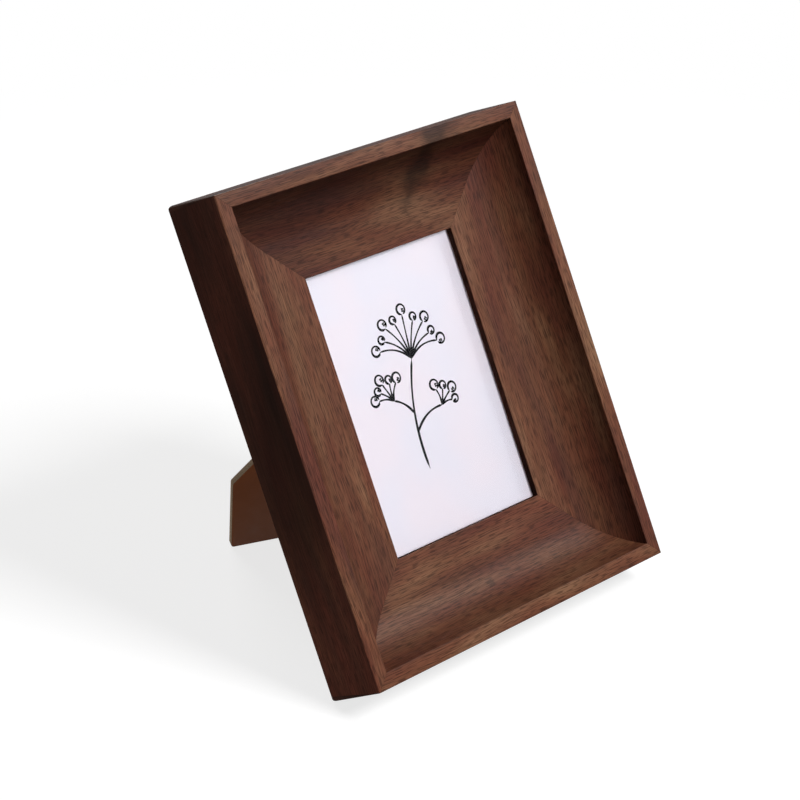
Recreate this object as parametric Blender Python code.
"""Tabletop picture frame with a deep cove moulding and a diagonal easel leg.

The frame is modelled upright in its own axes: X across, Y from the front to the back, Z up the frame.
One empty then leans it back until its lower back edge and the foot of the leg stand on the ground.
"""

from math import asin, atan2, cos, degrees, pi, radians, sin, tan

import bmesh
import bpy
from mathutils import Matrix, Vector

MM = 0.001
CLEAR = 0.3 * MM                # gap between pieces that touch on the real object

# Photo and sight opening
PHOTO_W = 89 * MM               # the 3.5 x 5 inch print that the frame takes
PHOTO_H = 127 * MM
LIP_OVERLAP = 3 * MM            # how far the wooden lip covers the print on each side
SHEET_PLAY = 0.6 * MM           # room round the print in the rebate

# Moulding section
MOULDING_W = 43 * MM            # from the front outer edge to the sight edge
SIDE_FLARE = 1.9 * MM           # how far the outer side leans out towards the back
RIM_W = 6.4 * MM                # flat front rim
COVE_R = 22 * MM                # hollow between the rim and the flat band
COVE_END = 25.5 * MM            # where the hollow meets the flat band, from the outer edge
BAND_DEPTH = 17 * MM            # how far behind the rim the sight edge lies
LIP_T = 3.5 * MM                # thickness of the wooden lip in front of the glass
FRONT_ARRIS = 0.5 * MM
BACK_ARRIS = 0.8 * MM
MITRE_GAP = 0.3 * MM            # glue line left open between two rails

# Sheets in the rebate
GLASS_T = 2 * MM
PRINT_T = 0.3 * MM
CARD_T = 0.8 * MM
FILLER_T = 1.9 * MM
BOARD_T = 3 * MM                # fibreboard back and leg
BOARD_PLAY = 0.4 * MM

# Corner nails, pressed in from the back across each mitre
NAIL_WING = 7 * MM
NAIL_T = 0.6 * MM
NAIL_DEPTH = 10 * MM
NAIL_SUNK = 0.2 * MM
NAIL_OUTER = 13 * MM            # apex of the outer nail, from the outer edge
NAIL_INNER = 9.4 * MM           # apex of the inner nail, from the rebate wall

# Turn buttons that hold the back board in
BUTTON_L = 14 * MM              # from the pivot to the tip
BUTTON_W = 8 * MM
BUTTON_T = 0.8 * MM
BUTTON_INSET = 3.4 * MM         # from the rebate wall to the pivot
BUTTON_FOOT_SHIFT = 26 * MM     # lower button, right of the middle, clear of the folded leg
SCREW_R = 1.0 * MM
SCREW_L = 8 * MM
SCREW_HEAD_R = 2.3 * MM
SCREW_HEAD_H = 1.2 * MM

# Hinge of the leg
HINGE_SIDE = 17.7 * MM          # middle of the hinge, from the right edge of the back board
HINGE_DROP = 35.2 * MM          # and from its top edge
HINGE_TILT = radians(25.7)      # the pin runs down to the right
OPEN_ANGLE = radians(49.6)      # leg to back board, with the heel on its stop
HINGE_L = 24 * MM
KNUCKLE_SPLIT = 8 * MM          # length of the middle knuckle
PIN_R = 1.0 * MM
KNUCKLE_WALL = 0.8 * MM
LEAF_T = 0.8 * MM
LEAF_SET = 0.2 * MM             # leaf inside the ends and the skin of its knuckles
BOARD_LEAF_H = 11 * MM          # from the pin up the board
LEAF_MARGIN = 3 * MM            # leg left bare on each side of its leaf
LEG_LEAF_H = 14 * MM            # from the pin down the leg
HEEL_H = 7 * MM                 # stop of the leg leaf, beyond the pin
RIVET_R = 1.0 * MM
RIVET_HEAD_R = 1.8 * MM
RIVET_HEAD_H = 0.5 * MM
BOARD_RIVET_X = 7.5 * MM        # from the middle of the hinge
BOARD_RIVET_Z = 7 * MM          # above the pin
LEG_RIVET_SIDE = 5 * MM         # from the side of the leg's leaf
LEG_RIVET_Z = 9 * MM            # below the pin
RIVET_BITE = 2.2 * MM           # how deep a rivet goes into the back board

# Leg outline
LEG_REACH = 143.7 * MM          # from the pin to the tip of the foot
TIP_SHIFT = 22.3 * MM           # the tip, left of the middle of the hinge
LEG_TOP_W = 26 * MM
LEG_TOP_DROP = 3.2 * MM         # top end of the leg, below the pin
LEG_FLARE = radians(4)          # right side of the leg against the pin's square
FOOT_SIDE_L = 40.5 * MM         # edge that the leg stands on when the frame lies across
FOOT_SIDE_ANGLE = radians(118)
FOOT_ROUND = 1.5 * MM
LEG_ROUND = 2 * MM

# Sawtooth hangers
HANGER_L = 38 * MM
HANGER_H = 7 * MM
HANGER_T = 0.8 * MM
HANGER_RISE = 1.5 * MM          # how far the toothed middle stands off its feet
HANGER_INSET = 13 * MM          # from the outer edge to the middle of the hanger
HANGER_TEETH = 9
TOOTH_H = 1.6 * MM
TOOTH_RUN = 22 * MM             # length of the toothed stretch
HANGER_NAIL_X = 15 * MM
HANGER_NAIL_R = 0.6 * MM
HANGER_NAIL_L = 8 * MM
HANGER_NAIL_HEAD_R = 1.5 * MM
HANGER_NAIL_HEAD_H = 0.5 * MM

POINT = 0.3                     # tip of a screw or nail, as a share of its shank's radius
CROWN = 0.7                     # top of a fastener's head, as a share of the head's radius
ROUND_SIDES = 24
ARC_STEPS = 4
COVE_STEPS = 12
CUT_OVER = 1 * MM               # how far a cutter runs past a face

# Sizes that follow from those above
SIGHT_W = PHOTO_W - 2 * LIP_OVERLAP
SIGHT_H = PHOTO_H - 2 * LIP_OVERLAP
OUTER_W = SIGHT_W + 2 * MOULDING_W
OUTER_H = SIGHT_H + 2 * MOULDING_W
REBATE_IN = MOULDING_W - LIP_OVERLAP - SHEET_PLAY      # rebate wall, from the outer edge
GLASS_SEAT = BAND_DEPTH + LIP_T
STACK_T = GLASS_T + PRINT_T + CARD_T + FILLER_T + 4 * CLEAR
BOARD_BACK = GLASS_SEAT + STACK_T + CLEAR + BOARD_T
DEPTH = BOARD_BACK + CLEAR                             # from the front rim to the back of the rails
BOARD_W = OUTER_W - 2 * (REBATE_IN + BOARD_PLAY)
BOARD_H = OUTER_H - 2 * (REBATE_IN + BOARD_PLAY)
KNUCKLE_R = PIN_R + CLEAR + KNUCKLE_WALL
LEAF_OUT = KNUCKLE_R - LEAF_SET                        # outer face of a leaf, from the pin's axis
PIN_HEIGHT = KNUCKLE_R + CLEAR                         # pin above the back board
LEG_LEAF_W = LEG_TOP_W - 2 * LEAF_MARGIN
LEG_RIVET_X = LEG_LEAF_W / 2 - LEG_RIVET_SIDE           # from the middle of the hinge
LEG_FRONT = -(LEAF_OUT - LEAF_T - CLEAR)               # front face of the leg, from the pin's axis
HINGE_X = BOARD_W / 2 - HINGE_SIDE
HINGE_Z = OUTER_H / 2 + BOARD_H / 2 - HINGE_DROP
HINGE_AT = Vector((HINGE_X, BOARD_BACK + PIN_HEIGHT, HINGE_Z))


def clear_scene():
    for item in list(bpy.data.objects):
        bpy.data.objects.remove(item, do_unlink=True)


def material(name, colour, roughness, metallic=0.0, transmission=0.0):
    made = bpy.data.materials.new(name)
    made.use_nodes = True
    shader = made.node_tree.nodes["Principled BSDF"]
    shader.inputs["Base Color"].default_value = (*colour, 1)
    shader.inputs["Roughness"].default_value = roughness
    shader.inputs["Metallic"].default_value = metallic
    shader.inputs["Transmission Weight"].default_value = transmission
    made.diffuse_color = (*colour, 1)
    return made


def fillet(before, corner, after, radius, steps=ARC_STEPS):
    """Points of an arc that rounds one corner of an outline, from one side to the other."""
    b, c, a = Vector(before), Vector(corner), Vector(after)
    to_b = (b - c).normalized()
    to_a = (a - c).normalized()
    half = to_b.angle(to_a) / 2
    centre = c + (to_b + to_a).normalized() * radius / sin(half)
    start = c + to_b * radius / tan(half) - centre
    end = c + to_a * radius / tan(half) - centre
    turn = start.angle_signed(end)
    points = []
    for k in range(steps + 1):
        points.append(centre + Matrix.Rotation(-turn * k / steps, 2) @ start)
    return points


def arc(centre, radius, first, last, steps):
    points = []
    for k in range(steps + 1):
        angle = first + (last - first) * k / steps
        points.append(Vector((centre[0] + radius * cos(angle), centre[1] + radius * sin(angle))))
    return points


def prism(bm, outline, low, high, at=(0, 0, 0), turn=0):
    """Adds a solid with an outline in X and Z, between two heights in Y, turned about Y and moved."""
    place = Matrix.Translation(at) @ Matrix.Rotation(turn, 4, "Y")
    near = [bm.verts.new(place @ Vector((x, low, z))) for x, z in outline]
    far = [bm.verts.new(place @ Vector((x, high, z))) for x, z in outline]
    bm.faces.new(near)
    bm.faces.new(far)
    for k in range(len(outline)):
        n = (k + 1) % len(outline)
        bm.faces.new((near[k], near[n], far[n], far[k]))


def box(bm, low, high):
    prism(bm, [(low[0], low[2]), (high[0], low[2]), (high[0], high[2]), (low[0], high[2])], low[1], high[1])


def turned(bm, steps, axis, at=(0, 0, 0)):
    """Adds a round solid from (height, radius) steps along an axis, X or Y."""
    rings = []
    for height, radius in steps:
        ring = []
        for k in range(ROUND_SIDES):
            angle = 2 * pi * k / ROUND_SIDES
            side, rise = radius * cos(angle), radius * sin(angle)
            point = (height, side, rise) if axis == "X" else (side, height, rise)
            ring.append(bm.verts.new(Vector(point) + Vector(at)))
        rings.append(ring)
    bm.faces.new(rings[0])
    bm.faces.new(rings[-1])
    for lower, upper in zip(rings, rings[1:]):
        for k in range(ROUND_SIDES):
            n = (k + 1) % ROUND_SIDES
            bm.faces.new((lower[k], lower[n], upper[n], upper[k]))


def piece(name, bm, finish, parent, place=(0, 0, 0), turn=(0, 0, 0)):
    bmesh.ops.recalc_face_normals(bm, faces=bm.faces)
    mesh = bpy.data.meshes.new(name)
    bm.to_mesh(mesh)
    bm.free()
    mesh.shade_smooth()
    mesh.set_sharp_from_angle(angle=radians(30))
    made = bpy.data.objects.new(name, mesh)
    bpy.context.scene.collection.objects.link(made)
    made.parent = parent
    made.location = place
    made.rotation_euler = turn
    if finish:
        mesh.materials.append(finish)
    return made


def copies(bm, finish, parent, places):
    """Like pieces, each its own object on one mesh. A place is a name, a location and a turn about Y."""
    made = []
    for name, at, turn in places:
        if not made:
            made.append(piece(name, bm, finish, parent, at, (0, turn, 0)))
            continue
        other = made[0].copy()
        other.name = name
        other.location = at
        other.rotation_euler = (0, turn, 0)
        bpy.context.scene.collection.objects.link(other)
        made.append(other)
    return made


def operand(name, bm, parent):
    made = piece(name, bm, None, parent)
    made.hide_render = True
    made.display_type = "WIRE"
    return made


def combine(target, other, operation):
    step = target.modifiers.new(other.name, "BOOLEAN")
    step.operation = operation
    step.solver = "EXACT"
    step.object = other


def empty(name, parent, place=(0, 0, 0), turn=(0, 0, 0)):
    made = bpy.data.objects.new(name, None)
    bpy.context.scene.collection.objects.link(made)
    made.parent = parent
    made.location = place
    made.rotation_euler = turn
    return made


# Moulding section, as (distance in from the outer edge, distance back from the rim)
def moulding_section():
    front, rim = (0, 0), Vector((RIM_W, 0))
    cove_end = Vector((COVE_END, BAND_DEPTH))
    back = (-SIDE_FLARE, DEPTH)
    chord = cove_end - rim
    half = asin(chord.length / 2 / COVE_R)
    facing = atan2(chord.x, -chord.y)
    centre = (rim + cove_end) / 2 - Vector((cos(facing), sin(facing))) * COVE_R * cos(half)
    section = fillet(back, front, rim, FRONT_ARRIS)
    section += arc(centre, COVE_R, facing + half, facing - half, COVE_STEPS)
    section.append(Vector((MOULDING_W, BAND_DEPTH)))
    section.append(Vector((MOULDING_W, GLASS_SEAT)))
    section.append(Vector((REBATE_IN, GLASS_SEAT)))
    section.append(Vector((REBATE_IN, DEPTH)))
    section += fillet((REBATE_IN, DEPTH), back, front, BACK_ARRIS)
    return section


# Rails
def rail(name, across, section, finish, parent):
    """One mitred rail. across is the unit vector from the middle of the frame to the rail."""
    along = Vector((-across.z, 0, across.x))
    trim = MITRE_GAP / 2 * 2 ** 0.5
    half_across = OUTER_W / 2 if across.x else OUTER_H / 2
    half_along = OUTER_H / 2 if across.x else OUTER_W / 2
    middle = Vector((0, 0, OUTER_H / 2))
    bm = bmesh.new()
    ends = []
    for side in (-1, 1):
        end = []
        for u, v in section:
            point = middle + across * (half_across - u) + along * side * (half_along - u - trim)
            point.y = v
            end.append(bm.verts.new(point))
        bm.faces.new(end)
        ends.append(end)
    for k in range(len(section)):
        n = (k + 1) % len(section)
        bm.faces.new((ends[0][k], ends[0][n], ends[1][n], ends[1][k]))
    return piece(name, bm, finish, parent)


# Corner nails
def nail_outline(grow):
    """L outline of a corner nail, with its apex on the mitre. grow widens it into its pocket."""
    short, long = -NAIL_T - grow, -NAIL_WING - grow
    return [(grow, grow), (long, grow), (long, short), (short, short), (short, long), (grow, long)]


def nail_places():
    corners = (("top_right", 1, 1, 0), ("bottom_right", 1, -1, pi / 2))
    corners += (("bottom_left", -1, -1, pi), ("top_left", -1, 1, -pi / 2))
    places = []
    for corner, x, z, turn in corners:
        for number, inset in enumerate((NAIL_OUTER, REBATE_IN - NAIL_INNER), 1):
            across = x * (OUTER_W / 2 - inset)
            up = OUTER_H / 2 + z * (OUTER_H / 2 - inset)
            places.append((f"corner_nail_{corner}_{number}", Vector((across, DEPTH, up)), turn))
    return places


def corner_nails(finish, parent):
    bm = bmesh.new()
    prism(bm, nail_outline(0), -NAIL_SUNK - NAIL_DEPTH, -NAIL_SUNK)
    copies(bm, finish, parent, nail_places())


# Turn buttons and their screws
def button_pivots():
    """Name, (x, z) of the pivot and the turn about Y that points the button at the board."""
    inset = REBATE_IN - BUTTON_INSET
    side = OUTER_W / 2 - inset
    return (
        ("top", (0, OUTER_H - inset), pi),
        ("right", (side, OUTER_H / 2), -pi / 2),
        ("bottom", (BUTTON_FOOT_SHIFT, inset), 0),
        ("left", (-side, OUTER_H / 2), pi / 2),
    )


def turn_button(name, pivot, turn, finish, parent):
    """A teardrop plate. Its origin is on the screw's axis and its tip points up its own Z."""
    lobe = BUTTON_W / 2
    nose = BUTTON_W / 4
    lean = atan2(lobe - nose, BUTTON_L - nose)
    outline = arc((0, 0), lobe, pi - lean, 2 * pi + lean, 3 * ARC_STEPS)
    outline += arc((0, BUTTON_L - nose), nose, lean, pi - lean, 2 * ARC_STEPS)
    bm = bmesh.new()
    prism(bm, outline, 0, BUTTON_T)
    made = piece(name, bm, finish, parent, (pivot[0], DEPTH + CLEAR, pivot[1]), (0, turn, 0))
    bm = bmesh.new()
    turned(bm, ((-CUT_OVER, SCREW_R + CLEAR), (BUTTON_T + CUT_OVER, SCREW_R + CLEAR)), "Y")
    hole = operand(name + "_hole", bm, made)
    combine(made, hole, "DIFFERENCE")
    return made


def screw_places():
    return [("button_screw_" + name, Vector((x, DEPTH, z)), 0) for name, (x, z), _ in button_pivots()]


def button_screws(finish, parent):
    seat = CLEAR + BUTTON_T + CLEAR
    steps = (
        (-SCREW_L, SCREW_R * POINT),
        (-SCREW_L + 2 * SCREW_R, SCREW_R),
        (seat, SCREW_R),
        (seat, SCREW_HEAD_R),
        (seat + SCREW_HEAD_H / 2, SCREW_HEAD_R),
        (seat + SCREW_HEAD_H, SCREW_HEAD_R * CROWN),
    )
    bm = bmesh.new()
    turned(bm, steps, "Y")
    copies(bm, finish, parent, screw_places())


# Sawtooth hangers and their nails
def hanger_places():
    """Name, (x, z) of the middle and the turn about Y that points the teeth down or left."""
    return (
        ("hanger_top", (0, OUTER_H - HANGER_INSET), 0),
        ("hanger_side", (OUTER_W / 2 - HANGER_INSET, OUTER_H / 2), pi / 2),
    )


def ribbon(bm, stations, high, thick):
    """Adds a bent strip from (x, lower edge, rise) stations. Its upper edge is straight."""
    columns = []
    for x, low, rise in stations:
        corners = ((rise, low), (rise, high), (rise + thick, high), (rise + thick, low))
        columns.append([bm.verts.new((x, y, z)) for y, z in corners])
    bm.faces.new(columns[0])
    bm.faces.new(columns[-1])
    for near, far in zip(columns, columns[1:]):
        for k in range(len(near)):
            n = (k + 1) % len(near)
            bm.faces.new((near[k], near[n], far[n], far[k]))


def hanger(name, centre, turn, finish, parent):
    """A strip nailed at both feet. A wall nail's head goes behind its raised, toothed middle."""
    low, pitch = -HANGER_H / 2, TOOTH_RUN / HANGER_TEETH
    foot = TOOTH_RUN / 2 + HANGER_RISE
    stations = [(-HANGER_L / 2, low, 0), (-foot, low, 0), (-TOOTH_RUN / 2, low, HANGER_RISE)]
    for k in range(HANGER_TEETH):
        left = -TOOTH_RUN / 2 + k * pitch
        stations.append((left + pitch / 2, low + TOOTH_H, HANGER_RISE))
        stations.append((left + pitch, low, HANGER_RISE))
    stations += [(foot, low, 0), (HANGER_L / 2, low, 0)]
    bm = bmesh.new()
    ribbon(bm, stations, HANGER_H / 2, HANGER_T)
    made = piece(name, bm, finish, parent, (centre[0], DEPTH + CLEAR, centre[1]), (0, turn, 0))
    bm = bmesh.new()
    for side in (-1, 1):
        bore = HANGER_NAIL_R + CLEAR
        turned(bm, ((-CUT_OVER, bore), (HANGER_T + CUT_OVER, bore)), "Y", (side * HANGER_NAIL_X, 0, 0))
    combine(made, operand(name + "_holes", bm, made), "DIFFERENCE")
    return made


def hanger_nail_places():
    places = []
    for name, (x, z), turn in hanger_places():
        for end, side in (("a", -1), ("b", 1)):
            reach = side * HANGER_NAIL_X
            at = Vector((x + reach * cos(turn), DEPTH, z - reach * sin(turn)))
            places.append((f"{name}_nail_{end}", at, 0))
    return places


def hanger_nails(finish, parent):
    seat = CLEAR + HANGER_T + CLEAR
    steps = (
        (-HANGER_NAIL_L, HANGER_NAIL_R * POINT),
        (-HANGER_NAIL_L + 2 * HANGER_NAIL_R, HANGER_NAIL_R),
        (seat, HANGER_NAIL_R),
        (seat, HANGER_NAIL_HEAD_R),
        (seat + HANGER_NAIL_HEAD_H, HANGER_NAIL_HEAD_R * CROWN),
    )
    bm = bmesh.new()
    turned(bm, steps, "Y")
    copies(bm, finish, parent, hanger_nail_places())


def rail_cutter(parent):
    """Pockets of the corner nails and the holes of every screw and nail in the rails."""
    bm = bmesh.new()
    for _, at, turn in nail_places():
        prism(bm, nail_outline(CLEAR), -NAIL_SUNK - NAIL_DEPTH - CLEAR, CUT_OVER, at, turn)
    for _, at, _ in screw_places():
        turned(bm, ((-SCREW_L - CLEAR, SCREW_R + CLEAR), (CUT_OVER, SCREW_R + CLEAR)), "Y", at)
    for _, at, _ in hanger_nail_places():
        bore = HANGER_NAIL_R + CLEAR
        turned(bm, ((-HANGER_NAIL_L - CLEAR, bore), (CUT_OVER, bore)), "Y", at)
    return operand("rail_holes", bm, parent)


# Sheets in the rebate, from the glass to the back board
def sheet(name, width, height, front, thick, finish, parent):
    bm = bmesh.new()
    low = (-width / 2, front, OUTER_H / 2 - height / 2)
    high = (width / 2, front + thick, OUTER_H / 2 + height / 2)
    box(bm, low, high)
    return piece(name, bm, finish, parent)


def sheets(finishes, parent):
    stack = (
        ("glass_pane", GLASS_T, "glass"),
        ("photo_print", PRINT_T, "paper"),
        ("backing_card", CARD_T, "card"),
        ("corrugated_filler", FILLER_T, "corrugated"),
    )
    front = GLASS_SEAT + CLEAR
    for name, thick, finish in stack:
        sheet(name, PHOTO_W, PHOTO_H, front, thick, finishes[finish], parent)
        front += thick + CLEAR


def back_board(finish, parent, hinge):
    front = BOARD_BACK - BOARD_T
    made = sheet("back_board", BOARD_W, BOARD_H, front, BOARD_T, finish, parent)
    bm = bmesh.new()
    bore = RIVET_R + CLEAR
    for x in (-BOARD_RIVET_X, BOARD_RIVET_X):
        steps = ((-PIN_HEIGHT - RIVET_BITE - CLEAR, bore), (-PIN_HEIGHT + CUT_OVER, bore))
        turned(bm, steps, "Y", (x, 0, BOARD_RIVET_Z))
    combine(made, operand("board_holes", bm, hinge), "DIFFERENCE")
    return made


# Hinge. Its axes: X along the pin, Y away from the board, Z up the board, origin on the pin
def pin_bore(name, parent):
    bm = bmesh.new()
    reach = HINGE_L / 2 + CUT_OVER
    turned(bm, ((-reach, PIN_R + CLEAR), (reach, PIN_R + CLEAR)), "X")
    return operand(name, bm, parent)


def board_leaf(finish, hinge):
    half, inner = HINGE_L / 2, KNUCKLE_SPLIT / 2 + CLEAR
    side, notch_side, notch = half - LEAF_SET, inner + LEAF_SET, KNUCKLE_R + CLEAR
    outline = [(-side, 0), (-notch_side, 0), (-notch_side, notch), (notch_side, notch)]
    outline += [(notch_side, 0), (side, 0), (side, BOARD_LEAF_H), (-side, BOARD_LEAF_H)]
    bm = bmesh.new()
    prism(bm, outline, -LEAF_OUT, -LEAF_OUT + LEAF_T)
    leaf = piece("hinge_board_leaf", bm, finish, hinge)
    bm = bmesh.new()
    turned(bm, ((-half, KNUCKLE_R), (-inner, KNUCKLE_R)), "X")
    turned(bm, ((inner, KNUCKLE_R), (half, KNUCKLE_R)), "X")
    combine(leaf, operand("board_knuckles", bm, hinge), "UNION")
    combine(leaf, pin_bore("board_leaf_bore", hinge), "DIFFERENCE")
    bm = bmesh.new()
    for x in (-BOARD_RIVET_X, BOARD_RIVET_X):
        steps = ((-PIN_HEIGHT, RIVET_R + CLEAR), (0, RIVET_R + CLEAR))
        turned(bm, steps, "Y", (x, 0, BOARD_RIVET_Z))
    combine(leaf, operand("board_leaf_holes", bm, hinge), "DIFFERENCE")


def leg_leaf(finish, hinge, swing):
    half, inner = LEG_LEAF_W / 2, KNUCKLE_SPLIT / 2
    tongue, shoulder = inner - LEAF_SET, -KNUCKLE_R - CLEAR
    outline = [(-half, -LEG_LEAF_H), (half, -LEG_LEAF_H), (half, shoulder), (tongue, shoulder)]
    outline += [(tongue, 0), (-tongue, 0), (-tongue, shoulder), (-half, shoulder)]
    bm = bmesh.new()
    prism(bm, outline, -LEAF_OUT, -LEAF_OUT + LEAF_T)
    leaf = piece("hinge_leg_leaf", bm, finish, swing)
    bm = bmesh.new()
    turned(bm, ((-inner, KNUCKLE_R), (inner, KNUCKLE_R)), "X")
    combine(leaf, operand("leg_knuckle", bm, swing), "UNION")
    bm = bmesh.new()
    heel = -LEAF_OUT + LEAF_T + CLEAR
    box(bm, (-tongue, heel, 0), (tongue, heel + LEAF_T, HEEL_H))
    combine(leaf, operand("leg_heel", bm, hinge), "UNION")
    combine(leaf, pin_bore("leg_leaf_bore", swing), "DIFFERENCE")
    bm = bmesh.new()
    for x in (-LEG_RIVET_X, LEG_RIVET_X):
        turned(bm, ((-PIN_HEIGHT, RIVET_R + CLEAR), (0, RIVET_R + CLEAR)), "Y", (x, 0, -LEG_RIVET_Z))
    combine(leaf, operand("leg_leaf_holes", bm, swing), "DIFFERENCE")


def hinge_pin(finish, hinge):
    bm = bmesh.new()
    half, tip = HINGE_L / 2, PIN_R * CROWN
    turned(bm, ((-half - CLEAR, tip), (-half, PIN_R), (half, PIN_R), (half + CLEAR, tip)), "X")
    return piece("hinge_pin", bm, finish, hinge)


def rivet_places(name, x, z):
    return [(name + "_left", (-x, 0, z), 0), (name + "_right", (x, 0, z), 0)]


def board_rivets(finish, hinge):
    seat = -LEAF_OUT + LEAF_T + CLEAR
    steps = (
        (-PIN_HEIGHT - RIVET_BITE, RIVET_R),
        (seat, RIVET_R),
        (seat, RIVET_HEAD_R),
        (seat + RIVET_HEAD_H, RIVET_HEAD_R * CROWN),
    )
    bm = bmesh.new()
    turned(bm, steps, "Y")
    copies(bm, finish, hinge, rivet_places("board_rivet", BOARD_RIVET_X, BOARD_RIVET_Z))


def leg_rivets(finish, swing):
    seat = -LEAF_OUT - CLEAR
    tail = LEG_FRONT + BOARD_T + CLEAR
    steps = (
        (seat - RIVET_HEAD_H, RIVET_HEAD_R * CROWN),
        (seat, RIVET_HEAD_R),
        (seat, RIVET_R),
        (tail, RIVET_R),
        (tail, RIVET_HEAD_R),
        (tail + RIVET_HEAD_H, RIVET_HEAD_R * CROWN),
    )
    bm = bmesh.new()
    turned(bm, steps, "Y")
    copies(bm, finish, swing, rivet_places("leg_rivet", LEG_RIVET_X, -LEG_RIVET_Z))


# Leg. Its front face carries the leaf and its lower edge lies along the ground
def hinge_turn():
    return Matrix.Rotation(HINGE_TILT, 3, "Y") @ Matrix.Rotation(OPEN_ANGLE, 3, "X")


def ground_lean(section):
    """Lean of the frame at which its lower back edge and the tip of the leg share the ground."""
    tip = HINGE_AT + hinge_turn() @ Vector((-TIP_SHIFT, LEG_FRONT, -LEG_REACH))
    return max(atan2(tip.z - u, tip.y - v) for u, v in section)


def leg_outline(lean):
    """Leg outline in X and Z of the hinge, with the lower edge parallel to the ground."""
    ground = hinge_turn().transposed() @ Vector((0, -sin(lean), cos(lean)))
    slope = -ground.x / ground.z
    tip = Vector((-TIP_SHIFT, -LEG_REACH))
    knee = tip + FOOT_SIDE_L * Vector((cos(FOOT_SIDE_ANGLE), sin(FOOT_SIDE_ANGLE)))
    top_left = Vector((-LEG_TOP_W / 2, -LEG_TOP_DROP))
    top_right = Vector((LEG_TOP_W / 2, -LEG_TOP_DROP))
    flare = tan(LEG_FLARE)
    run = (top_right.x + flare * (top_right.y - tip.y) - tip.x) / (1 + flare * slope)
    heel = tip + Vector((run, run * slope))
    corners = (top_left, knee, tip, heel, top_right)
    rounds = (LEG_ROUND, LEG_ROUND, FOOT_ROUND, FOOT_ROUND, LEG_ROUND)
    outline = []
    for k, corner in enumerate(corners):
        outline += fillet(corners[k - 1], corner, corners[(k + 1) % len(corners)], rounds[k])
    return outline


def stand_leg(lean, finish, swing):
    bm = bmesh.new()
    prism(bm, leg_outline(lean), LEG_FRONT, LEG_FRONT + BOARD_T)
    leg = piece("stand_leg", bm, finish, swing)
    bm = bmesh.new()
    for x in (-LEG_RIVET_X, LEG_RIVET_X):
        steps = ((LEG_FRONT - CUT_OVER, RIVET_R + CLEAR), (LEG_FRONT + BOARD_T + CUT_OVER, RIVET_R + CLEAR))
        turned(bm, steps, "Y", (x, 0, -LEG_RIVET_Z))
    combine(leg, operand("leg_holes", bm, swing), "DIFFERENCE")
    return leg


def settle(frame_axes):
    """Moves the whole object so that its box stands on the ground with its middle at the origin."""
    bpy.context.view_layer.update()
    graph = bpy.context.evaluated_depsgraph_get()
    points = []
    for item in bpy.context.scene.objects:
        if item.type == "MESH" and not item.hide_render:
            solid = item.evaluated_get(graph)
            points += [solid.matrix_world @ vertex.co for vertex in solid.data.vertices]
    low = [min(point[k] for point in points) for k in range(3)]
    high = [max(point[k] for point in points) for k in range(3)]
    frame_axes.location = (-(low[0] + high[0]) / 2, -(low[1] + high[1]) / 2, -low[2])
    bpy.context.view_layer.update()


def build():
    clear_scene()
    walnut = material("walnut_veneer", (0.105, 0.045, 0.022), 0.5)
    fibreboard = material("brown_fibreboard", (0.075, 0.035, 0.014), 0.75)
    brass = material("brass_plated_steel", (0.62, 0.45, 0.19), 0.35, 1.0)
    steel = material("zinc_plated_steel", (0.55, 0.55, 0.56), 0.35, 1.0)
    finishes = {
        "glass": material("clear_glass", (0.95, 0.97, 0.97), 0.03, 0.0, 1.0),
        "paper": material("coated_paper", (0.84, 0.82, 0.88), 0.45),
        "card": material("white_card", (0.75, 0.74, 0.71), 0.8),
        "corrugated": material("corrugated_card", (0.36, 0.23, 0.12), 0.9),
    }

    section = moulding_section()
    lean = ground_lean(section)
    frame_axes = empty("frame_axes", None, turn=(-lean, 0, 0))
    hinge = empty("hinge_axes", frame_axes, HINGE_AT, (0, HINGE_TILT, 0))
    swing = empty("leg_swing", hinge, turn=(OPEN_ANGLE, 0, 0))

    cutter = rail_cutter(frame_axes)
    sides = {
        "top_rail": Vector((0, 0, 1)),
        "right_rail": Vector((1, 0, 0)),
        "bottom_rail": Vector((0, 0, -1)),
        "left_rail": Vector((-1, 0, 0)),
    }
    for name, across in sides.items():
        combine(rail(name, across, section, walnut, frame_axes), cutter, "DIFFERENCE")
    corner_nails(steel, frame_axes)

    sheets(finishes, frame_axes)
    back_board(fibreboard, frame_axes, hinge)

    for name, pivot, turn in button_pivots():
        turn_button("turn_button_" + name, pivot, turn, brass, frame_axes)
    button_screws(brass, frame_axes)

    for name, centre, turn in hanger_places():
        hanger(name, centre, turn, brass, frame_axes)
    hanger_nails(brass, frame_axes)

    board_leaf(steel, hinge)
    leg_leaf(steel, hinge, swing)
    hinge_pin(steel, hinge)
    board_rivets(steel, hinge)
    leg_rivets(steel, swing)
    stand_leg(lean, fibreboard, swing)

    settle(frame_axes)
    print("lean", round(degrees(lean), 2), "frame axes at", tuple(round(v, 5) for v in frame_axes.location))


build()
